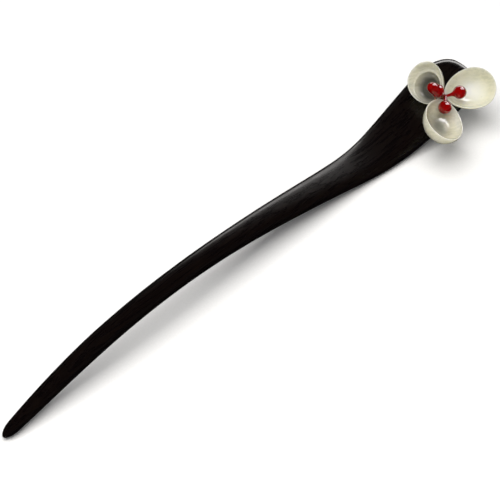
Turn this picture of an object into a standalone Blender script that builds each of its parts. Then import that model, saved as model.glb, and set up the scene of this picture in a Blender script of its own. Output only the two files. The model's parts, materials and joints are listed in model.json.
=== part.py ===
"""Decorative hair pin: a bent ebony stick whose spatula head carries a wired flower.

Three stone petals hang on copper wires, three red glass drops on theirs. The wires are bound into one
stem, which goes through a bore in the head and is closed at the back by an inlaid ebony cover.
Lengths are in metres. The origin is on the rest face under the neck. +X runs from the point to the
head, +Z is up, and the pin lies on z = 0 with the face and its point.
"""

import math

import bmesh
import bpy
import numpy as np
from mathutils import Matrix, Vector

MM = 0.001
GAP = 0.3 * MM

# Ebony stick: (distance from the point, value), read as smooth curves
LENGTH = 180 * MM
CENTRE_HEIGHT = ((0, 1.3), (30, 9.5), (62, 12.3), (95, 9.4), (123, 4.3), (140, 1.98), (155, 3.9), (180, 10.3))
CENTRE_DRIFT = ((0, 0), (100, 0), (130, -0.35), (150, -0.25), (165, 0.2), (180, 0.9))
HALF_WIDTH = (
    *((0, 1.65), (12, 2.35), (57, 3.05), (85, 3.55), (110, 4.5)),
    *((133, 5.85), (150, 7.85), (166, 9.1), (180, 9.1)),
)
HALF_THICKNESS = ((0, 1.45), (12, 2.0), (50, 2.5), (90, 2.4), (140, 2.1), (180, 1.9))
SQUARENESS = ((0, 2.0), (80, 2.2), (140, 2.7), (180, 3.0))
POINT_ROUND = 4 * MM
END_ROUND = 14 * MM
END_SQUARENESS = 2.5
RIM_ROUND = 2 * MM
SECTION_POINTS = 24
SECTION_STEP = 3.5 * MM
REST_FACE_X = 140 * MM
REST_FACE_DEPTH = 1 * MM

# Seat of the flower on the head
SEAT_X = 164 * MM
SEAT_Y = -4.2 * MM
BORE_RADIUS = 1.5 * MM
RECESS_RADIUS = 3.9 * MM
RECESS_DEPTH = 2.0 * MM
COVER_RADIUS = 3.6 * MM
COVER_THICKNESS = 0.7 * MM
PAD_THICKNESS = 0.3 * MM

# Flower: the hub is where the three glass necks meet. Angles are in degrees: heading from +X, tilt
# above the horizontal, roll about the piece's own length. A petal's tip is its narrow end, placed from
# the hub; its size is its length, width and depth in millimetres.
HUB = Vector((163.0, -7.0, 15.1)) * MM
PETALS = {
    "left": {"heading": 67, "tilt": 14, "roll": -41.5, "tip": (-2.65, 1.5, -1.65)},
    "end": {"heading": -30, "tilt": 5.5, "roll": 28.3, "tip": (0.6, 0.75, -0.7)},
    "stem": {"heading": -143.5, "tilt": 8.4, "roll": -28.2, "tip": (-0.2, -0.87, -1.4)},
}
PETAL_SIZES = {"left": (13.3, 11.2, 4.8), "end": (15.45, 12.25, 5.0), "stem": (16.9, 12.5, 6.0)}
PETAL_NARROWING = {"left": 0.15, "end": 0.16, "stem": 0.09}
PETAL_WALL = 1.2 * MM
PETAL_HOLE_DEPTH = 1.3 * MM
PETAL_HOLE_RADIUS = 0.45 * MM
PETAL_RIM_ROUND = 0.4 * MM
# A drop's reach is from the hub to the middle of its ball, and its tail is how far the glass is drawn
# out past the ball. The shoulder, where the ball runs into its neck, is (radius, distance below the
# middle of the ball).
STAMENS = {
    "left": {"heading": 139, "tilt": 43, "reach": 3.35, "tail": 1.85},
    "end": {"heading": -31, "tilt": 7, "reach": 4.3, "tail": 0},
    "stem": {"heading": -140, "tilt": -4, "reach": 4.3, "tail": 0},
}
DROP_RADIUS = 2.0 * MM
TAIL_FULLNESS = 0.42
SHOULDER = ((0.95, 1.75), (0.6, 2.2))
SHOULDER_END = 2.8 * MM
NECK_RADIUS = 0.42 * MM
NECK_START = 0.55 * MM

# Wires. The folds are where the petals' wires are bent over in the recess, and the shank is their
# straight stretch at the mouth of the bore, both from the seat. The hook is how a petal's wire goes
# through its hole: from outside the petal's tip to inside its cup.
WIRE_RADIUS = 0.18 * MM
WIRE_BEND = 0.6 * MM
FOLD_RADIUS = 1.7 * MM
SHANK = (-0.4 * MM, 1.6 * MM)
PETAL_WIRE_CROWN = -4 * MM
HOOK = (0.1 * MM, 1.2 * MM, 1.7 * MM)
HOOK_START = Vector((-0.8 * MM, 0, -PETAL_HOLE_DEPTH - WIRE_BEND))
STAMEN_WIRE_FOOT = 0.5 * MM
STAMEN_WIRE_CROWN = -3 * MM
STAMEN_RING = 0.39 * MM
PETAL_RING = 1.02 * MM
BINDING_RADIUS = 0.15 * MM
BINDING_PITCH = 0.4 * MM
BINDING_TURNS = 2
BINDING_START = 0.5 * MM
BINDING_POINTS = 14
COLLAR_RADIUS = 2.7 * MM
COLLAR_HEIGHT = 0.4 * MM
COLLAR_LIP = 0.4 * MM
COLLAR_EDGE = 0.1 * MM


def spline(knots):
    """A natural cubic through (x, y) knots given in millimetres, as a function in metres."""
    xs, ys = (np.array(column, float) * MM for column in zip(*knots))
    step = np.diff(xs)
    slope = np.diff(ys) / step
    bend = np.eye(len(xs))
    side = np.zeros(len(xs))
    for i in range(1, len(xs) - 1):
        bend[i, i - 1 : i + 2] = step[i - 1], 2 * (step[i - 1] + step[i]), step[i]
        side[i] = 6 * (slope[i] - slope[i - 1])
    bend = np.linalg.solve(bend, side)

    def value(x):
        i = int(np.clip(np.searchsorted(xs, x) - 1, 0, len(step) - 1))
        t = x - xs[i]
        first = slope[i] - step[i] * (2 * bend[i] + bend[i + 1]) / 6
        return float(ys[i] + t * (first + t * (bend[i] / 2 + t * (bend[i + 1] - bend[i]) / (6 * step[i]))))

    return value


centre_height = spline(CENTRE_HEIGHT)
centre_drift = spline(CENTRE_DRIFT)
half_width = spline(HALF_WIDTH)
half_thickness = spline(HALF_THICKNESS)
squareness = spline(SQUARENESS)


def collection(name):
    made = bpy.data.collections.new(name)
    bpy.context.scene.collection.children.link(made)
    return made


def material(name, colour, roughness, metallic=0.0):
    made = bpy.data.materials.new(name)
    made.use_nodes = True
    shader = made.node_tree.nodes["Principled BSDF"]
    shader.inputs["Base Color"].default_value = (*colour, 1)
    shader.inputs["Roughness"].default_value = roughness
    shader.inputs["Metallic"].default_value = metallic
    return made


def add(name, data, finish, place=None, into=None):
    """A new object placed from the pin's point, in the pin's collection unless another is given."""
    obj = bpy.data.objects.new(name, data)
    if finish:
        data.materials.append(finish)
    obj.parent = point
    obj.matrix_basis = place or Matrix.Identity(4)
    (into or pin).objects.link(obj)
    if obj.type == "MESH":
        data.shade_smooth()
        data.set_sharp_from_angle(angle=math.radians(40))
    return obj


def frame(origin, x_axis, z_axis):
    """A placement with its z along z_axis and its x as near x_axis as it can be."""
    z = z_axis.normalized()
    x = (x_axis - z * x_axis.dot(z)).normalized()
    turn = Matrix((x, z.cross(x), z)).transposed().to_4x4()
    return Matrix.Translation(origin) @ turn


def polar(radius, angle, z):
    return Vector((radius * math.cos(angle), radius * math.sin(angle), z))


def boolean(obj, cutter, operation="DIFFERENCE"):
    modifier = obj.modifiers.new(cutter.name, "BOOLEAN")
    modifier.operation = operation
    modifier.object = cutter


def helper(name, data, place=None):
    """A cutter or guide, which is not a part of the pin."""
    obj = add(name, data, None, place, helpers)
    obj.hide_render = True
    obj.display_type = "WIRE"
    return obj


def cylinder_mesh(name, radius, low, high, sides=32):
    mesh = bpy.data.meshes.new(name)
    bm = bmesh.new()
    middle = Matrix.Translation((0, 0, (low + high) / 2))
    bmesh.ops.create_cone(
        bm, cap_ends=True, segments=sides, radius1=radius, radius2=radius, depth=high - low, matrix=middle
    )
    bm.to_mesh(mesh)
    bm.free()
    return mesh


def turned(name, profile, finish, place, steps):
    """A turned piece: (radius, height) points down its outer side, top to bottom, spun about z."""
    mesh = bpy.data.meshes.new(name)
    points = [(radius, 0, height) for radius, height in profile]
    mesh.from_pydata(points, [(i, i + 1) for i in range(len(points) - 1)], [])
    obj = add(name, mesh, finish, place)
    screw = obj.modifiers.new("Turned", "SCREW")
    screw.steps = steps
    screw.render_steps = steps
    screw.use_merge_vertices = True
    screw.merge_threshold = 0.00002
    screw.use_smooth_shade = True
    return obj


def rounded_route(points, per_span=4):
    """Catmull-Rom points through a wire's own points."""
    ends = [2 * points[0] - points[1], *points, 2 * points[-1] - points[-2]]
    route = []
    for a, b, c, d in zip(ends, ends[1:], ends[2:], ends[3:]):
        for k in range(per_span):
            t = k / per_span
            bend = (2 * a - 5 * b + 4 * c - d) * t + (3 * b - a - 3 * c + d) * t * t
            route.append(b + ((c - a) + bend) * t / 2)
    return [*route, points[-1]]


def wire(name, route, radius, finish):
    """A round wire with closed ends along a route of points."""
    curve = bpy.data.curves.new(name, "CURVE")
    curve.dimensions = "3D"
    curve.bevel_depth = radius
    curve.bevel_resolution = 2
    curve.use_fill_caps = True
    line = curve.splines.new("POLY")
    line.points.add(len(route) - 1)
    for point, place in zip(line.points, route):
        point.co = (*place, 1)
    return add(name, curve, finish)


# The stick


def spine(x):
    """The stick's centre at x, and the direction across its thickness there."""
    reach = 0.5 * MM
    rise = (centre_height(x + reach) - centre_height(x - reach)) / (2 * reach)
    return Vector((x, centre_drift(x), centre_height(x))), Vector((-rise, 0, 1)).normalized()


def section(x):
    """Half width, half thickness and squareness of the stick's cross-section at x."""
    wide = half_width(x)
    thick = half_thickness(x)
    if x < POINT_ROUND:
        nose = math.sqrt(1 - (1 - x / POINT_ROUND) ** 2)
        wide *= nose
        thick *= nose
    end = (x - (LENGTH - END_ROUND)) / END_ROUND
    if end > 0:
        wide *= (1 - end**END_SQUARENESS) ** (1 / END_SQUARENESS)
    rim = (x - (LENGTH - RIM_ROUND)) / RIM_ROUND
    if rim > 0:
        thick *= math.sqrt(1 - rim * rim)
    return wide, thick, squareness(x) / MM


def surface_point(x, y, side=1):
    """The point of the stick's top (side 1) or back (side -1) at x and y."""
    middle, across = spine(x)
    wide, thick, power = section(x)
    aside = y - middle.y
    height = thick * (1 - abs(aside / wide) ** power) ** (1 / power)
    return middle + Vector((0, aside, 0)) + across * height * side


def section_ring(x):
    """One cross-section of the stick, square to its bend."""
    middle, across = spine(x)
    wide, thick, power = section(x)
    ring = []
    for k in range(SECTION_POINTS):
        turn = 2 * math.pi * k / SECTION_POINTS
        y, z = math.cos(turn), math.sin(turn)
        y = math.copysign(abs(y) ** (2 / power), y) * wide
        z = math.copysign(abs(z) ** (2 / power), z) * thick
        ring.append(middle + Vector((0, y, 0)) + across * z)
    return ring


def section_places():
    """Distances of the cross-sections, closer together where the point and the end are rounded."""
    nose = [POINT_ROUND * (1 - math.cos(math.radians(a))) for a in range(15, 90, 15)]
    end = [LENGTH - RIM_ROUND * (1 - math.sin(math.radians(a))) for a in range(0, 90, 15)]
    spans = round((end[0] - POINT_ROUND) / SECTION_STEP)
    body = [POINT_ROUND + (end[0] - POINT_ROUND) * k / spans for k in range(spans)]
    return nose + body + end


def stick_mesh():
    """A loft through the cross-sections, closed by one point at each end."""
    bm = bmesh.new()
    rings = [[bm.verts.new(p) for p in section_ring(x)] for x in section_places()]
    first = bm.verts.new(spine(0)[0])
    last = bm.verts.new(spine(LENGTH)[0])
    count = SECTION_POINTS
    for k in range(count):
        n = (k + 1) % count
        bm.faces.new((first, rings[0][n], rings[0][k]))
        bm.faces.new((last, rings[-1][k], rings[-1][n]))
        for a, b in zip(rings, rings[1:]):
            bm.faces.new((a[k], a[n], b[n], b[k]))
    bmesh.ops.recalc_face_normals(bm, faces=bm.faces)
    mesh = bpy.data.meshes.new("ebony_stick")
    bm.to_mesh(mesh)
    bm.free()
    return mesh


def seat_frame():
    """Placement on the head's top with z out of the wood: the bore's axis."""
    _, across = spine(SEAT_X)
    return frame(surface_point(SEAT_X, SEAT_Y), Vector((1, 0, 0)), across)


def build_stick():
    stick = add("ebony_stick", stick_mesh(), ebony)
    blank = helper("stick_blank", stick_mesh())
    below = cylinder_mesh("rest_face", LENGTH, -REST_FACE_DEPTH, 0)
    boolean(stick, helper("rest_face", below, Matrix.Translation((LENGTH / 2, 0, 0))))
    seat = seat_frame()
    back = (seat.inverted() @ surface_point(SEAT_X, SEAT_Y, -1)).z
    bore = cylinder_mesh("bore", BORE_RADIUS, back - 2 * MM, 2 * MM, 24)
    recess = cylinder_mesh("recess", RECESS_RADIUS, back - 2 * MM, back + RECESS_DEPTH)
    boolean(stick, helper("bore", bore, seat))
    boolean(stick, helper("recess", recess, seat))
    inlay = cylinder_mesh("rear_cover", COVER_RADIUS, back - 2 * MM, back + COVER_THICKNESS)
    cover = add("rear_cover", inlay, ebony, seat)
    boolean(cover, blank, "INTERSECT")
    pad_low = back + COVER_THICKNESS + 0.1 * MM
    pad = cylinder_mesh("rear_cement_pad", COVER_RADIUS, pad_low, pad_low + PAD_THICKNESS)
    add("rear_cement_pad", pad, cement, seat)
    return back


# The flower


def hub_frame():
    """Placement at the hub, with z along the stem of wires, out of the wood."""
    return frame(HUB, Vector((1, 0, 0)), HUB - surface_point(SEAT_X, SEAT_Y))


def aimed(origin, heading, tilt, roll=0.0):
    """Placement with its x along a heading and tilt, rolled about that x."""
    turn = Matrix.Rotation(math.radians(heading), 4, "Z")
    raised = Matrix.Rotation(-math.radians(tilt), 4, "Y")
    return Matrix.Translation(origin) @ turn @ raised @ Matrix.Rotation(math.radians(roll), 4, "X")


def petal_frame(petal):
    """Placement at a petal's tip: x along the petal, z out of its cup."""
    return aimed(HUB + Vector(petal["tip"]) * MM, petal["heading"], petal["tilt"], petal["roll"])


def petal_mesh(side):
    """The outside of a petal: the lower half of a ball drawn out into an egg-shaped cup."""
    length, width, depth = (value * MM for value in PETAL_SIZES[side])
    bm = bmesh.new()
    bmesh.ops.create_uvsphere(bm, u_segments=24, v_segments=12, radius=1)
    above = [v for v in bm.verts if v.co.z > 0.001]
    bmesh.ops.delete(bm, geom=above, context="VERTS")
    for v in bm.verts:
        x, y, z = v.co
        v.co.x = length / 2 * (1 + x)
        v.co.y = width / 2 * y * (1 + PETAL_NARROWING[side] * x)
        v.co.z = depth * z
    mesh = bpy.data.meshes.new("petal_" + side)
    bm.to_mesh(mesh)
    bm.free()
    return mesh


def build_petal(side, placing):
    place = petal_frame(placing)
    petal = add("petal_" + side, petal_mesh(side), jade, place)
    wall = petal.modifiers.new("Wall", "SOLIDIFY")
    wall.thickness = PETAL_WALL
    wall.offset = -1
    rim = petal.modifiers.new("Rim", "BEVEL")
    rim.width = PETAL_RIM_ROUND
    rim.segments = 2
    rim.limit_method = "ANGLE"
    rim.angle_limit = math.radians(50)
    hole = cylinder_mesh("hole_" + side, PETAL_HOLE_RADIUS, -PETAL_WALL, 2.5 * PETAL_WALL, 16)
    lying = Matrix.Rotation(math.radians(90), 4, "Y")
    drilled_at = place @ Matrix.Translation((0, 0, -PETAL_HOLE_DEPTH)) @ lying
    boolean(petal, helper("petal_hole_" + side, hole, drilled_at))


def drop_profile(reach, tail):
    """A ball that runs into a neck, from its far side or its drawn-out tail down to the neck's end."""
    centre = reach * MM
    tail_start = DROP_RADIUS / 2
    profile = []
    for degrees in range(0, 136, 15):
        radius = DROP_RADIUS * math.sin(math.radians(degrees))
        height = DROP_RADIUS * math.cos(math.radians(degrees))
        if tail and height > tail_start:
            share = (height - tail_start) / (DROP_RADIUS - tail_start)
            radius *= 1 + TAIL_FULLNESS * share
            height += tail * MM * share
        profile.append((radius, centre + height))
    profile += [(radius * MM, centre - below * MM) for radius, below in SHOULDER]
    profile.append((NECK_RADIUS, max(centre - SHOULDER_END, NECK_START + NECK_RADIUS / 2)))
    profile.append((NECK_RADIUS, NECK_START))
    profile.append((0, NECK_START))
    return profile


def build_stamen(side, shape):
    out = aimed(HUB, shape["heading"], shape["tilt"]).to_3x3() @ Vector((1, 0, 0))
    profile = drop_profile(shape["reach"], shape["tail"])
    turned("stamen_" + side, profile, red_glass, frame(HUB, Vector((0, 0, 1)), out), 24)


def build_wires(back):
    seat, hub = seat_frame(), hub_frame()
    rear = back + COVER_THICKNESS + PAD_THICKNESS + WIRE_BEND
    for side, placing in PETALS.items():
        turn = math.atan2(placing["tip"][1], placing["tip"][0])
        petal = petal_frame(placing)
        route = [
            seat @ polar(RECESS_RADIUS - WIRE_BEND, turn, rear),
            seat @ polar(FOLD_RADIUS, turn, rear),
            seat @ polar(PETAL_RING, turn, rear + WIRE_BEND),
            *(seat @ polar(PETAL_RING, turn, height) for height in SHANK),
            hub @ polar(PETAL_RING, turn, PETAL_WIRE_CROWN),
            petal @ HOOK_START,
            *(petal @ Vector((x, 0, -PETAL_HOLE_DEPTH)) for x in HOOK),
        ]
        wire("petal_wire_" + side, rounded_route(route), WIRE_RADIUS, copper)
    for side, shape in STAMENS.items():
        turn = math.radians(shape["heading"])
        route = [
            seat @ polar(STAMEN_RING, turn, rear),
            seat @ polar(STAMEN_RING, turn, STAMEN_WIRE_FOOT),
            hub @ polar(STAMEN_RING, turn, STAMEN_WIRE_CROWN),
            hub @ polar(STAMEN_RING, turn, -NECK_RADIUS - GAP),
        ]
        wire("stamen_wire_" + side, rounded_route(route), WIRE_RADIUS, copper)


def build_stem_fittings():
    """The turns that bind the wires, and the cement ring at the bore's mouth."""
    seat = seat_frame()
    inner = PETAL_RING + WIRE_RADIUS + GAP
    low = COLLAR_HEIGHT + BINDING_START
    turns = []
    for k in range(BINDING_POINTS * BINDING_TURNS + 1):
        share = k / BINDING_POINTS
        turns.append(seat @ polar(inner + BINDING_RADIUS, 2 * math.pi * share, low + BINDING_PITCH * share))
    wire("binding_wire", turns, BINDING_RADIUS, copper)
    top = GAP + COLLAR_HEIGHT
    ring = [(inner, top), (inner + COLLAR_LIP, top), (COLLAR_RADIUS, GAP + COLLAR_EDGE), (COLLAR_RADIUS, GAP)]
    ring += [(inner, GAP), (inner, top)]
    turned("front_cement_collar", ring, cement, seat, 28)


for old in list(bpy.data.objects):
    bpy.data.objects.remove(old)

pin = collection("hair_pin")
helpers = collection("cutters")
helpers.hide_render = True
point = bpy.data.objects.new("pin_point", None)
point.location.x = -REST_FACE_X
pin.objects.link(point)
ebony = material("polished_ebony", (0.012, 0.009, 0.008), 0.28)
jade = material("pale_jade", (0.72, 0.76, 0.62), 0.12)
red_glass = material("red_glass", (0.38, 0.01, 0.01), 0.05)
copper = material("copper_wire", (0.75, 0.33, 0.18), 0.3, 1.0)
cement = material("clear_cement", (0.45, 0.42, 0.36), 0.35)

back_of_head = build_stick()
for petal_side, petal_placing in PETALS.items():
    build_petal(petal_side, petal_placing)
for stamen_side, stamen_shape in STAMENS.items():
    build_stamen(stamen_side, stamen_shape)
build_wires(back_of_head)
build_stem_fittings()
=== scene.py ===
"""Looks of a hair pin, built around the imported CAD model.

The pin is a bent bar of waxed ebony. A flower sits on its broad head: three cupped petals of pale jade
and three red glass drops, all held by copper wires that go through a bore to the back of the head.
Sizes are in millimetres and angles in degrees unless a name says otherwise. Every finished mesh is in
metres, in the frame of the CAD model, whose origin is on the rest face under the stick's neck.
"""

import json
import logging
import math
from collections.abc import Callable, Iterator
from contextlib import contextmanager
from dataclasses import dataclass, field
from enum import Enum

import bmesh
import bpy
import numpy as np
from mathutils import Matrix, Vector

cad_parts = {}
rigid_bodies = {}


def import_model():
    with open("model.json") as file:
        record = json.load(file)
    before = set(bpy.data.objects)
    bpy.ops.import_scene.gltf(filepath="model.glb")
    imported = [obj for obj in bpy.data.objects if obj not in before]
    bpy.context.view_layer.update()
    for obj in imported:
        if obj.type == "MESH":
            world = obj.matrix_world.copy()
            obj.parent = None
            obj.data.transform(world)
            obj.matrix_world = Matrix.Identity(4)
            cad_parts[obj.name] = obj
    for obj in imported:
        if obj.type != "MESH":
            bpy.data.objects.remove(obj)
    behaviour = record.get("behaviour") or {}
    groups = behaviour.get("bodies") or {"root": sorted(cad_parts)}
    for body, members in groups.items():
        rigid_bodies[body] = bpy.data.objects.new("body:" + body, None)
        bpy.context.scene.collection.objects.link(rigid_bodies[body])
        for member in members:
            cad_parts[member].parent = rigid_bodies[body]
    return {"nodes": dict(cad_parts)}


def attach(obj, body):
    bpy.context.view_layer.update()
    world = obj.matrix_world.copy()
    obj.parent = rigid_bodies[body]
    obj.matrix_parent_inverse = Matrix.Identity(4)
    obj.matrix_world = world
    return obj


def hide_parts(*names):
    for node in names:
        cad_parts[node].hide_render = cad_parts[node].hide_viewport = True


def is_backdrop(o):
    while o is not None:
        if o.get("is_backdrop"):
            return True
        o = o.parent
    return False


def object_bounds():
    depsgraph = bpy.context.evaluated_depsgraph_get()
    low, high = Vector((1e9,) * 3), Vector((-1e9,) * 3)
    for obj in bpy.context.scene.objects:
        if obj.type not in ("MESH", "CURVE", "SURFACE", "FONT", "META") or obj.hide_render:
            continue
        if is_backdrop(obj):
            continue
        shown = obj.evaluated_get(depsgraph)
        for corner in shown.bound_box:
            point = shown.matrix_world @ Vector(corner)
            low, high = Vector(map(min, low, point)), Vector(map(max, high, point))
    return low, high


logging.basicConfig(level=logging.INFO, format="%(message)s")
LOG = logging.getLogger("hair_pin")

MM = 0.001
BODY = "root"
X_AXIS = Vector((1, 0, 0))
Z_AXIS = Vector((0, 0, 1))


class Side(Enum):
    """The three petals and drops, by where they point on the head."""

    LEFT = "left"
    END = "end"
    STEM = "stem"


# Helpers that every class uses


def linear(code: str) -> tuple[float, float, float, float]:
    """Turn an sRGB colour into linear RGBA.

    Args:
        code: The colour as "#rrggbb".

    Returns:
        The linear red, green and blue, and an alpha of 1.
    """
    srgb = [int(code[i : i + 2], 16) / 255 for i in (1, 3, 5)]
    red, green, blue = (c / 12.92 if c <= 0.04045 else ((c + 0.055) / 1.055) ** 2.4 for c in srgb)
    return red, green, blue, 1.0


def per_metre(size_mm: float) -> float:
    """Return the texture scale, in turns a metre, of a pattern whose features are this many mm apart."""
    return 1000 / size_mm


def add_node(
    tree: bpy.types.NodeTree,
    kind: str,
    settings: dict[str | int, object],
    links: dict[str | int, bpy.types.NodeSocket] | None = None,
) -> bpy.types.Node:
    """Add one node to a tree.

    Args:
        tree: The node tree that gets it.
        kind: Blender's name for the node's type.
        settings: Values for its inputs, by name or number, for its own properties, and "stops" for
            the (position, colour) pairs of a colour ramp.
        links: The sockets that feed its inputs.

    Returns:
        The new node.
    """
    node = tree.nodes.new(kind)
    for key, value in settings.items():
        if key == "stops":
            ramp = node.color_ramp.elements
            while len(ramp) < len(value):
                ramp.new(0.5)
            for element, (position, colour) in zip(ramp, value):
                element.position = position
                element.color = colour
        elif isinstance(key, int) or key in node.inputs:
            node.inputs[key].default_value = value
        else:
            setattr(node, key, value)
    for key, socket in (links or {}).items():
        tree.links.new(socket, node.inputs[key])
    return node


def blank_material(name: str) -> tuple[bpy.types.Material, bpy.types.NodeTree, bpy.types.Node]:
    """Make a material and return it with its node tree and its Principled shader."""
    material = bpy.data.materials.new(name)
    material.use_nodes = True
    return material, material.node_tree, material.node_tree.nodes["Principled BSDF"]


def two_tone(
    tree: bpy.types.NodeTree,
    where: bpy.types.NodeSocket,
    size: float,
    tones: tuple[tuple[float, str], tuple[float, str]],
    noise: dict[str, object],
) -> tuple[bpy.types.NodeSocket, bpy.types.NodeSocket]:
    """Mottle a surface with two colours.

    Args:
        tree: The material's node tree.
        where: The socket that gives the place on the piece.
        size: How wide the patches are, in millimetres.
        tones: For each colour, the noise's value from which it is pure, and its code.
        noise: The noise's other settings.

    Returns:
        The sockets of the colour and of the noise's value.
    """
    patches = add_node(tree, "ShaderNodeTexNoise", {"Scale": per_metre(size), **noise}, {"Vector": where})
    value = patches.outputs["Fac"]
    stops = [(position, linear(code)) for position, code in tones]
    colour = add_node(tree, "ShaderNodeValToRGB", {"stops": stops}, {"Fac": value})
    return colour.outputs["Color"], value


def dress(material: bpy.types.Material, *pieces: bpy.types.Object) -> None:
    """Give pieces one finish, in place of what they had."""
    for piece in pieces:
        piece.data.materials.clear()
        piece.data.materials.append(material)


def only(obj: bpy.types.Object) -> bpy.types.Object:
    """Make an object the only selected and the active one.

    Args:
        obj: The object.

    Returns:
        The same object.
    """
    bpy.ops.object.select_all(action="DESELECT")
    obj.select_set(True)
    bpy.context.view_layer.objects.active = obj
    return obj


@contextmanager
def editing(obj: bpy.types.Object) -> Iterator[None]:
    """Hold an object in edit mode, with nothing of it selected at the start.

    Args:
        obj: The object.

    Returns:
        A context that puts it back in object mode.
    """
    only(obj)
    bpy.ops.object.mode_set(mode="EDIT")
    bpy.ops.mesh.select_all(action="DESELECT")
    yield
    bpy.ops.object.mode_set(mode="OBJECT")


def pick(obj: bpy.types.Object, test: Callable[[Vector], bool]) -> None:
    """Select some vertices of an object in edit mode, and only them.

    Args:
        obj: The object.
        test: Says of a vertex's place whether it is selected.
    """
    bpy.ops.mesh.select_all(action="DESELECT")
    mesh = bmesh.from_edit_mesh(obj.data)
    for vertex in mesh.verts:
        vertex.select = test(vertex.co)
    mesh.select_flush(True)
    bmesh.update_edit_mesh(obj.data)


def apply_modifier(obj: bpy.types.Object, kind: str, **settings: object) -> None:
    """Add a modifier with these settings and apply it.

    Args:
        obj: The object that it shapes.
        kind: Blender's name for the modifier's type.
        settings: Its properties.
    """
    only(obj)
    modifier = obj.modifiers.new(kind.title(), kind)
    for key, value in settings.items():
        setattr(modifier, key, value)
    bpy.ops.object.modifier_apply(modifier=modifier.name)


def smooth(obj: bpy.types.Object, levels: int) -> None:
    """Subdivide an object's surface, with the same levels on screen and in the render."""
    apply_modifier(obj, "SUBSURF", levels=levels, render_levels=levels)


def cut(obj: bpy.types.Object, cutter: bpy.types.Object, operation: str = "DIFFERENCE") -> None:
    """Cut an object with another, or keep what they share, and remove the cutter."""
    apply_modifier(obj, "BOOLEAN", object=cutter, operation=operation, solver="EXACT")
    bpy.data.objects.remove(cutter)


def ripple(obj: bpy.types.Object, size: float, height: float) -> None:
    """Give a surface the slight waves of hand work.

    Args:
        obj: The piece.
        size: How wide the waves are, in millimetres.
        height: How high they are, in millimetres.
    """
    clouds = bpy.data.textures.new(obj.name + "_waves", "CLOUDS")
    clouds.noise_scale = size * MM
    clouds.noise_depth = 1
    apply_modifier(
        obj, "DISPLACE", texture=clouds, strength=height * MM, mid_level=0.5, texture_coords="LOCAL"
    )


def settle(obj: bpy.types.Object, place: Matrix) -> None:
    """Put a piece's place into its mesh and leave its object at the origin."""
    obj.data.transform(place @ obj.matrix_world)
    obj.matrix_world = Matrix.Identity(4)


def shade(obj: bpy.types.Object, angle: float = 35.0) -> None:
    """Shade a piece smooth, with a crease where faces turn by more than an angle."""
    only(obj)
    bpy.ops.object.shade_smooth_by_angle(angle=math.radians(angle))


def fit(obj: bpy.types.Object, name: str, slot: str, *nodes: str) -> bpy.types.Object:
    """Name a finished piece, put it on the pin's body and hide the CAD nodes that it stands for.

    Args:
        obj: The piece, in place.
        name: The piece's name.
        slot: The record's material slot; not used.
        nodes: The CAD nodes that it replaces.

    Returns:
        The piece.
    """
    obj.name = name
    obj.data.name = name
    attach(obj, BODY)
    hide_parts(*nodes)
    LOG.info("%s: %d faces", name, len(obj.data.polygons))
    return obj


def frame_at(origin: Vector, x_axis: Vector, z_axis: Vector) -> Matrix:
    """Return a placement from its axes.

    Args:
        origin: Its place, in metres.
        x_axis: Where its x points, as nearly as its z allows.
        z_axis: Where its z points.

    Returns:
        The placement.
    """
    z = z_axis.normalized()
    x = (x_axis - z * x_axis.dot(z)).normalized()
    return Matrix.Translation(origin) @ Matrix((x, z.cross(x), z)).transposed().to_4x4()


def aimed(origin: Vector, heading: float, tilt: float, roll: float = 0.0) -> Matrix:
    """Return a placement from where its x points.

    Args:
        origin: Its place, in metres.
        heading: The angle of its x from +X, seen from above.
        tilt: How far its x points up from level.
        roll: How far it is turned about its x.

    Returns:
        The placement.
    """
    turn = Matrix.Rotation(math.radians(heading), 4, "Z")
    raised = Matrix.Rotation(-math.radians(tilt), 4, "Y")
    return Matrix.Translation(origin) @ turn @ raised @ Matrix.Rotation(math.radians(roll), 4, "X")


def polar(radius: float, angle: float, z: float) -> Vector:
    """Return a point from its distance from the z axis, its angle in radians and its height."""
    return Vector((radius * math.cos(angle), radius * math.sin(angle), z))


@dataclass(frozen=True)
class SmoothCurve:
    """A natural cubic through (distance, value) knots, both in millimetres."""

    knots: tuple[tuple[float, float], ...]

    def bends(self) -> tuple[np.ndarray, np.ndarray, np.ndarray]:
        """Solve the natural cubic.

        Returns:
            The knots' distances, their values, and the curve's second derivative at each.
        """
        xs, ys = (np.array(column, float) for column in zip(*self.knots))
        step = np.diff(xs)
        slope = np.diff(ys) / step
        rows = np.eye(len(xs))
        side = np.zeros(len(xs))
        for i in range(1, len(xs) - 1):
            rows[i, i - 1 : i + 2] = step[i - 1], 2 * (step[i - 1] + step[i]), step[i]
            side[i] = 6 * (slope[i] - slope[i - 1])
        return xs, ys, np.linalg.solve(rows, side)

    def at(self, x: float) -> float:
        """Read the curve.

        Args:
            x: The distance.

        Returns:
            The curve's value there.
        """
        xs, ys, bend = self.bends()
        i = int(np.clip(np.searchsorted(xs, x) - 1, 0, len(xs) - 2))
        step, t = xs[i + 1] - xs[i], x - xs[i]
        first = (ys[i + 1] - ys[i]) / step - step * (2 * bend[i] + bend[i + 1]) / 6
        return float(ys[i] + t * (first + t * (bend[i] / 2 + t * (bend[i + 1] - bend[i]) / (6 * step))))


# Finishes


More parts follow.
